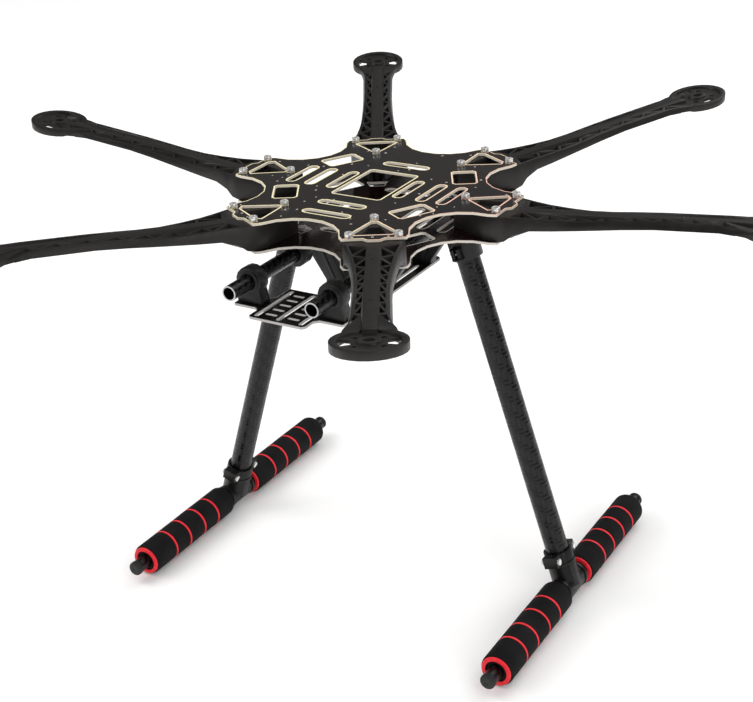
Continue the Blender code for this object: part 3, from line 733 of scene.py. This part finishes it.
def rounded_slot(x, y, length, width, lengthwise=True, steps=6):
    """A slot with round ends, along Y or along X."""
    reach = (length - width) / 2
    points = []
    for end in (1, -1):
        for i in range(steps + 1):
            angle = math.pi * i / steps + (0.0 if end > 0 else math.pi)
            points.append((width / 2 * math.cos(angle), end * reach + width / 2 * math.sin(angle)))
    return [(x + a, y + b) if lengthwise else (x + b, y + a) for a, b in points]


tray_laminate = lacquered_laminate(
    "tray laminate",
    deep=(0.005, 0.005, 0.006),
    warm=(0.010, 0.0095, 0.010),
    cut_edge=(0.52, 0.50, 0.49),
    gloss=0.26,
)
tray_low, tray_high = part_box("gimbal_tray")
tongue = 0.021
tongue_chamfer = 0.002
wing_front = -0.1125
wing_back = -0.096
wing_chamfer = 0.001
fillet = 0.003
right_side = [
    (tongue - tongue_chamfer, tray_low.y),
    (tongue, tray_low.y + tongue_chamfer),
    (tongue, wing_front - fillet),
    (tongue + fillet, wing_front),
    (tray_high.x - wing_chamfer, wing_front),
    (tray_high.x, wing_front + wing_chamfer),
    (tray_high.x, wing_back - wing_chamfer),
    (tray_high.x - wing_chamfer, wing_back),
    (tongue + fillet, wing_back),
    (tongue, wing_back + fillet),
    (tongue, tray_high.y),
]
tray_outline = right_side + [(-x, y) for x, y in right_side[::-1]]
tray_middle = (tray_low.y + tray_high.y) / 2
slot_reach = 0.0165
slot_margin = 0.003
long_slot = tray_high.y - tray_low.y - 2 * slot_margin
tray_openings = [rounded_slot(x, tray_middle, long_slot, 0.0026) for x in (-slot_reach, 0.0, slot_reach)]
cross_slot_pitch = 0.0078
for x in (-slot_reach / 2, slot_reach / 2):
    for step in range(-2, 3):
        y = tray_middle + step * cross_slot_pitch
        tray_openings.append(rounded_slot(x, y, 0.0085, 0.0024, lengthwise=False))
shape = plate(tray_outline, tray_openings, tray_low.z, tray_high.z - tray_low.z)
gimbal_tray = piece("gimbal_tray_slotted", shape, tray_laminate, "gimbal_carrier")
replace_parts(gimbal_tray, "gimbal_tray")


def facing(loop, hole):
    """The loop as vectors, turned so that the plate is on its left."""
    turning = sum(a[0] * b[1] - b[0] * a[1] for a, b in zip(loop, loop[1:] + loop[:1]))
    return [Vector(spot) for spot in (loop if (turning > 0) != hole else loop[::-1])]


tray_line = bare_line("tray line", pale=(0.55, 0.54, 0.53), rose=(0.40, 0.39, 0.38))
line_shape = bmesh.new()
for outline in [facing(tray_outline, False), *(facing(loop, True) for loop in tray_openings[:3])]:
    line_round(line_shape, outline, tray_high.z, 0.00006, 0.0004, 0.00004)
piece("gimbal_tray_lines", line_shape, tray_line, "gimbal_carrier")
clamp_ring = 0.0073
clamp_screw_reach = 0.0078
for side in ("left", "right"):
    name = f"tray_clamp_{side}"
    dress(name, hanger_nylon, 0.0005)
    rubber_ring(name, f"rail_rod_{side}", "gimbal_carrier", clamp_ring, 0.0016, 1.3)
    low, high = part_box(name)
    rod_x = axis_of(f"rail_rod_{side}")[0]
    for hand in (-1, 1):
        seat = head_down(rod_x + hand * clamp_screw_reach, (low.y + high.y) / 2, tray_low.z)
        fitting_screw(f"{name}_screw_{hand_names[hand]}", "gimbal_carrier", seat)


# --- Battery tray and its drop arms ---------------------------------------------------------------
# A wider slotted plate hangs lower under the middle. Four ribbed nylon arms carry it from rings on the rods,
# and slide along them with it.

dress("battery_tray", tray_laminate)
tray_body = "battery_carrier"
edge_lines("battery_tray_lines", "battery_tray", tray_line, tray_body, 0.0003, 0.0004)


def bar_between(start, end, width, depth, y, rounding):
    """A rib with a rounded back between two (x, z) points, standing on the plane at y and facing the nose."""
    start = Vector((start[0], 0.0, start[1]))
    end = Vector((end[0], 0.0, end[1]))
    run = (end - start).normalized()
    over = Vector((-run.z, 0.0, run.x))
    shape = bmesh.new()
    rows = []
    for i in range(9):
        angle = math.pi * i / 8
        offset = over * math.cos(angle) * width / 2 + Vector((0.0, -math.sin(angle) ** rounding * depth, 0.0))
        rows.append([shape.verts.new(spot + offset + Vector((0.0, y, 0.0))) for spot in (start, end)])
    for first, second in zip(rows, rows[1:] + rows[:1]):
        shape.faces.new((first[0], first[1], second[1], second[0]))
    shape.faces.new([row[0] for row in rows])
    shape.faces.new([row[1] for row in rows[::-1]])
    return shape


rib_width = 0.0022
rib_depth = 0.0008
foot_reach = 0.0165
for hand, side in hand_names.items():
    rod = f"rail_rod_{side}"
    rod_x, rod_z, rod_radius = axis_of(rod)
    for end in ("front", "rear"):
        name = f"drop_arm_{side}_{end}"
        dress(name, hanger_nylon, 0.0004)
        low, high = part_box(name)
        rubber_ring(name, rod, "battery_carrier", hanger_ring, 0.0012, 1.25)
        top = (rod_x - hand * 0.0052, rod_z - 0.0080)
        bottom = (hand * foot_reach, low.z + 0.0032)
        for face, y, depth in (("front", low.y, rib_depth), ("rear", high.y, -rib_depth)):
            rib = bar_between(top, bottom, rib_width, depth, y, 0.6)
            piece(f"{name}_rib_{face}", rib, hanger_nylon, "battery_carrier")
        seat = head_down(hand * foot_reach, (low.y + high.y) / 2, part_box("battery_tray")[0].z)
        fitting_screw(f"{name}_screw", "battery_carrier", seat)


# --- Leg sockets ------------------------------------------------------------------------------------
# A moulded flange under the lower deck on each side, with a split socket that a cross bolt pinches onto the
# leg tube. The split's ears stand out to the front.

leg_top = (0.0638, 0.2597)
leg_foot = (0.1426, 0.0115)


def leg_line(hand):
    """A leg's frame, with Z down the tube from its upper end, and the length from there to the skid."""
    top = Vector((hand * leg_top[0], 0.0, leg_top[1]))
    foot = Vector((hand * leg_foot[0], 0.0, leg_foot[1]))
    down = (foot - top).normalized()
    across = Vector((0.0, 1.0, 0.0))
    turned = Matrix((across.cross(down), across, down)).transposed().to_4x4()
    return Matrix.Translation(top) @ turned, (foot - top).length


ear_size = Matrix.Diagonal((0.0024, 0.0038, 0.0070, 1.0))
ear_place = (0.0021, -0.0114, 0.0100)
ear_bolt_place = (0.0033, -0.0116, 0.0100)
flange_middle = 0.0623
flange_reach = 0.0118
flange_plate = 0.003
for hand, side in hand_names.items():
    name = f"leg_socket_{side}"
    dress(name, hanger_nylon, 0.0004)
    flange_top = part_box(name)[1].z
    leg_frame = leg_line(hand)[0]
    for ear, label in ((-1, "inner"), (1, "outer")):
        block = bmesh.new()
        bmesh.ops.create_cube(block, size=1.0)
        seat = Matrix.Translation((ear * ear_place[0], *ear_place[1:]))
        block.transform(leg_frame @ seat @ ear_size)
        bmesh.ops.bevel(block, geom=block.edges[:], offset=0.0007, segments=3, affect="EDGES", profile=0.6)
        piece(f"{name}_ear_{label}", block, hanger_nylon, "airframe")
    seat = Matrix.Translation((hand * ear_bolt_place[0], *ear_bolt_place[1:]))
    seat = leg_frame @ seat @ Matrix.Rotation(hand * math.pi / 2, 4, "Y")
    fitting_screw(f"{name}_bolt", "airframe", seat, head=0.0016, rise=0.0012, stem=0.0009, depth=0.0064)
    for corner_x in (-1, 1):
        for corner_y in (-1, 1):
            x = hand * flange_middle + corner_x * flange_reach
            seat = head_down(x, corner_y * flange_reach, flange_top - flange_plate)
            label = f"{'inner' if corner_x * hand < 0 else 'outer'}_{end_names[corner_y]}"
            fitting_screw(f"{name}_screw_{label}", "airframe", seat, head=0.0020, rise=0.0015, depth=0.0025)


# --- Leg tubes --------------------------------------------------------------------------------------
# Two 16 mm carbon tubes in a coarse twill, wrapped and ground, that splay out from the sockets to the tees.

leg_radius = 0.008
leg_bore = 0.007
leg_tow = 0.0030
leg_end_gap = 0.0068
for hand, side in hand_names.items():
    name = f"leg_tube_{side}"
    leg_frame, length = leg_line(hand)
    down = leg_frame.to_3x3().col[2]
    twill = carbon_twill(f"leg twill {side}", leg_frame.translation, down, leg_radius, leg_tow, 0.15, 0.70)
    shape = tube(leg_radius, leg_bore, length - leg_end_gap, 0.0003, leg_frame)
    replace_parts(piece(f"{name}_wrapped", shape, twill, "airframe"), name)


# --- Tees -----------------------------------------------------------------------------------------
# Moulded tees join each leg to its skid. The riser is split over the leg tube, and two bolts through lugs
# beside it pull it tight. Raised bands strengthen its three mouths.

tee_rise = 0.027
lug_rise = 0.023
lug_face = 0.00535
lug_bolt_reach = 0.0120
gap_shade_size = Matrix.Diagonal((0.0009, 0.0062, 0.0002, 1.0))
nut_flat = 0.0021
nut_profile = [
    (0.0, 0.0),
    (hexagon(nut_flat), 0.0),
    (hexagon(nut_flat), 0.0014),
    (0.0014, 0.0017),
    (0.0, 0.0017),
]
for hand, side in hand_names.items():
    name = f"leg_tee_{side}"
    dress(name, hanger_nylon, 0.0005)
    leg_frame, length = leg_line(hand)
    lug_level = length - lug_rise
    for end, label in end_names.items():
        seat = leg_frame @ Matrix.Translation((lug_face, end * lug_bolt_reach, lug_level))
        seat = seat @ Matrix.Rotation(math.pi / 2, 4, "Y")
        fitting_screw(f"{name}_bolt_{label}", "airframe", seat, 0.0020, 0.0018, 0.0012, 0.0115)
        seat = leg_frame @ Matrix.Translation((-lug_face, end * lug_bolt_reach, lug_level))
        nut = turn(nut_profile, 36, place=seat @ Matrix.Rotation(-math.pi / 2, 4, "Y"))
        piece(f"{name}_nut_{label}", nut, steel, "airframe")
        # painted shade: a thin dark slab in the plug rubber finish, laid along the top of each lug, stands in
        # for the shaded gap of the riser's split
        gap_shade = bmesh.new()
        bmesh.ops.create_cube(gap_shade, size=1.0)
        seat = leg_frame @ Matrix.Translation((0.0, end * 0.0114, lug_level - 0.00405))
        gap_shade.transform(seat @ gap_shade_size)
        piece(f"{name}_split_{label}", gap_shade, rubber, "airframe")
    collar_place = leg_frame @ Matrix.Translation((0.0, 0.0, length - tee_rise + 0.0090))
    collar = ring_round(0.0106, 0.0096, 0.0018, 1.5, collar_place)
    piece(f"{name}_collar", collar, hanger_nylon, "airframe")
    for end, label in end_names.items():
        band = ring_round(0.0093, 0.0080, 0.0022, 1.4, lying(hand * leg_foot[0], end * 0.0128, leg_foot[1]))
        piece(f"{name}_band_{label}", band, hanger_nylon, "airframe")


# --- Skid tubes -------------------------------------------------------------------------------------
# A 10 mm carbon tube runs through each tee. Only short lengths show between the tee, the grips and the plugs.

skid_bore = 0.0042
for side in ("left", "right"):
    name = f"skid_tube_{side}"
    low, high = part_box(name)
    skid_x, skid_z, skid_radius = axis_of(name)
    twill = carbon_twill(f"skid twill {side}", (skid_x, 0.0, skid_z), aft, skid_radius, rod_tow, 0.20, 0.30)
    shape = tube(skid_radius, skid_bore, high.y - low.y, 0.00025, lying(skid_x, low.y, skid_z))
    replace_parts(piece(f"{name}_wrapped", shape, twill, "airframe"), name)


# --- Foam grips -----------------------------------------------------------------------------------
# Closed-cell foam sleeves pushed over the skid tubes. Thin red rings are let into each, and the end that
# faces the nose is capped with a red disc.


def closed_cell_foam(name):
    """Matt black foam with a fine pitted skin, faint dust and shallow dents."""
    finish = Finish(name)
    spot = finish.place()
    cells = finish.node("ShaderNodeTexVoronoi", {}, {"Vector": spot, "Scale": 1700.0})
    skin = finish.noise(spot, 700.0, 5.0, 0.65)
    dust = finish.noise(spot, 60.0, 3.0, 0.5)
    dusty = finish.span(dust + skin * 0.3, 0.5, 0.95)
    finish.give(
        base_color=finish.mix(dusty, (0.0045, 0.0045, 0.005), (0.011, 0.0105, 0.011)),
        roughness=finish.span(skin, 0.3, 0.7, 0.78, 0.92),
        specular_ior_level=0.22,
        normal=finish.bump(cells + skin * 0.8, 0.00012, 0.55),
    )
    return finish


def red_foam(name):
    """The same foam dyed red."""
    finish = Finish(name)
    spot = finish.place()
    cells = finish.node("ShaderNodeTexVoronoi", {}, {"Vector": spot, "Scale": 1700.0})
    skin = finish.noise(spot, 500.0, 4.0, 0.6)
    finish.give(
        base_color=finish.mix(finish.span(skin, 0.35, 0.7), (0.86, 0.010, 0.022), (0.68, 0.008, 0.018)),
        roughness=finish.span(skin, 0.3, 0.7, 0.55, 0.72),
        normal=finish.bump(cells + skin * 0.8, 0.00010, 0.5),
    )
    return finish


grip_foam = closed_cell_foam("grip foam")
grip_red = red_foam("grip red")
band_places = (0.024, 0.041, 0.059, 0.076)
band_width = 0.0017
cap_length = 0.0012
cap_outer = 0.0104
cap_inner = 0.0077
front_round = 0.0014
shoulder = 0.0040
grip_bore = 0.0053
skin_gap = 0.00011
for side in ("left", "right"):
    for end in ("front", "rear"):
        name = f"foam_grip_{side}_{end}"
        low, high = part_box(name)
        foam_x, foam_z, foam_radius = axis_of(name)
        length = high.y - low.y
        profile = [(grip_bore, cap_length)]
        for step in range(5):
            angle = math.pi / 2 * step / 4
            reach = front_round * (1 - math.sin(angle))
            profile.append((foam_radius - reach, cap_length + front_round * (1 - math.cos(angle))))
        for band in band_places:
            near = band - band_width / 2
            far = band + band_width / 2
            profile += [
                (foam_radius, near - 0.0003),
                (foam_radius - 0.0004, near),
                (foam_radius - 0.0005, far),
                (foam_radius, far + 0.0003),
            ]
        for step in range(7):
            angle = math.pi / 2 * step / 6
            reach = shoulder * (1 - math.cos(angle))
            profile.append((foam_radius - reach, length - shoulder * (1 - math.sin(angle))))
        profile.append((grip_bore, length))
        place = lying(foam_x, low.y, foam_z)
        sleeve = turn(profile, 96, closed=True)
        for spot in sleeve.verts:
            reach = Vector((spot.co.x, spot.co.y)).length
            if reach > foam_radius * 0.6:
                angle = math.atan2(spot.co.y, spot.co.x)
                dent = 0.00006 * math.sin(3 * angle + spot.co.z * 260)
                dent += 0.00005 * math.sin(5 * angle - spot.co.z * 190)
                scale = (reach + dent - skin_gap) / reach
                spot.co.x *= scale
                spot.co.y *= scale
        sleeve.transform(place)
        grip = piece(f"{name}_sleeve", sleeve, grip_foam, "airframe")
        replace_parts(grip, name)
        for order, band in enumerate(band_places):
            band_place = place @ Matrix.Translation((0, 0, band))
            hoop = ring_round(foam_radius - 0.00008, foam_radius - 0.0012, band_width, 1.35, band_place)
            piece(f"{name}_band_{order}", hoop, grip_red, "airframe")
        disc = [
            (cap_inner, 0.0),
            (cap_outer - 0.0004, 0.0),
            (cap_outer, 0.0004),
            (cap_outer, cap_length + 0.0003),
            (cap_inner, cap_length + 0.0003),
        ]
        piece(f"{name}_cap", turn(disc, 72, closed=True, place=place), grip_red, "airframe")


# --- End plugs ------------------------------------------------------------------------------------
# Moulded rubber plugs close the skid tubes at both ends, with a domed head and a small sink in its middle.

for side in ("left", "right"):
    for hand, end in end_names.items():
        name = f"end_plug_{side}_{end}"
        low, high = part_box(name)
        plug_x, plug_z, head = axis_of(name)
        length = high.y - low.y
        tip = low.y if hand < 0 else high.y
        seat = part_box(f"skid_tube_{side}")[0 if hand < 0 else 1].y
        head_length = abs(tip - seat) - seat_gap
        profile = [
            (0.0, 0.0004),
            (0.0012, 0.0003),
            (0.0020, 0.0),
            (head - 0.0014, 0.0001),
            (head - 0.0005, 0.0005),
            (head, 0.0013),
            (head, head_length),
            (0.0038, head_length),
            (0.0036, length - 0.0006),
            (0.0030, length),
            (0.0, length),
        ]
        place = Matrix.Translation((plug_x, tip, plug_z)) @ Matrix.Rotation(hand * math.pi / 2, 4, "X")
        plug = piece(f"{name}_moulded", turn(profile, 64, place=place), rubber, "airframe")
        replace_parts(plug, name)


# --- Floor, light and camera ----------------------------------------------------------------------
# A pale matt floor, a bright even surround, and three large soft panels. The camera looks down from the
# front right.

floor_shape = bmesh.new()
bmesh.ops.create_grid(floor_shape, x_segments=1, y_segments=1, size=12.0)
floor_mesh = bpy.data.meshes.new("floor")
floor_shape.to_mesh(floor_mesh)
floor_shape.free()
floor = bpy.data.objects.new("floor", floor_mesh)
bpy.context.scene.collection.objects.link(floor)
floor.location.z = frame_box[0][2] - 0.0003
paper = Finish("floor paper")
paper_fibre = paper.noise(paper.place(), 300.0, 3.0, 0.5)
paper.give(
    base_color=paper.mix(paper_fibre, (0.95, 0.95, 0.95), (0.97, 0.97, 0.97)),
    roughness=paper.span(paper_fibre, 0.3, 0.7, 0.85, 0.95),
)
floor_mesh.materials.append(paper.material)

surround_light = 0.92
surround_gloss = 0.16
world = bpy.data.worlds.new("surround")
bpy.context.scene.world = world
world.use_nodes = True
surround = world.node_tree.nodes["Background"]
surround.inputs["Color"].default_value = (1.0, 1.0, 1.0, 1.0)
light_path = world.node_tree.nodes.new("ShaderNodeLightPath")
strength = world.node_tree.nodes.new("ShaderNodeMapRange")
strength.inputs["To Min"].default_value = surround_light
strength.inputs["To Max"].default_value = surround_gloss
world.node_tree.links.new(light_path.outputs["Is Glossy Ray"], strength.inputs["Value"])
world.node_tree.links.new(strength.outputs["Result"], surround.inputs["Strength"])


def soft_panel(name, place, size, power, warmth):
    """A large square light that faces the airframe."""
    lamp = bpy.data.lights.new(name, "AREA")
    lamp.size = size
    lamp.energy = power
    lamp.color = warmth
    panel = bpy.data.objects.new(name, lamp)
    panel.location = place
    aim = Vector((0.0, 0.0, 0.2)) - Vector(place)
    panel.rotation_euler = aim.to_track_quat("-Z", "Y").to_euler()
    bpy.context.scene.collection.objects.link(panel)
    return panel


soft_panel("panel_left", (-1.4, -0.6, 1.6), 1.2, 14.0, (1.0, 0.98, 0.95))
soft_panel("panel_back", (0.4, 1.6, 1.5), 1.4, 12.0, (1.0, 0.99, 0.98))
soft_panel("panel_right", (1.5, -0.9, 0.9), 0.8, 6.0, (1.0, 0.97, 0.94))

camera_data = bpy.data.cameras.new("camera")
camera_data.sensor_width = 36.0
camera_data.lens = 71.56
camera_data.clip_start = 0.01
camera = bpy.data.objects.new("camera", camera_data)
bpy.context.scene.collection.objects.link(camera)
right_axis = Vector((0.86075, 0.50722, -0.04292))
up_axis = Vector((-0.18315, 0.38728, 0.90358))
back_axis = Vector((0.47493, -0.76990, 0.42625))
camera_place = Matrix.Translation((0.49514, -0.81125, 0.61008))
camera.matrix_world = camera_place @ Matrix((right_axis, up_axis, back_axis)).transposed().to_4x4()
bpy.context.scene.camera = camera
bpy.context.scene.view_settings.view_transform = "Standard"
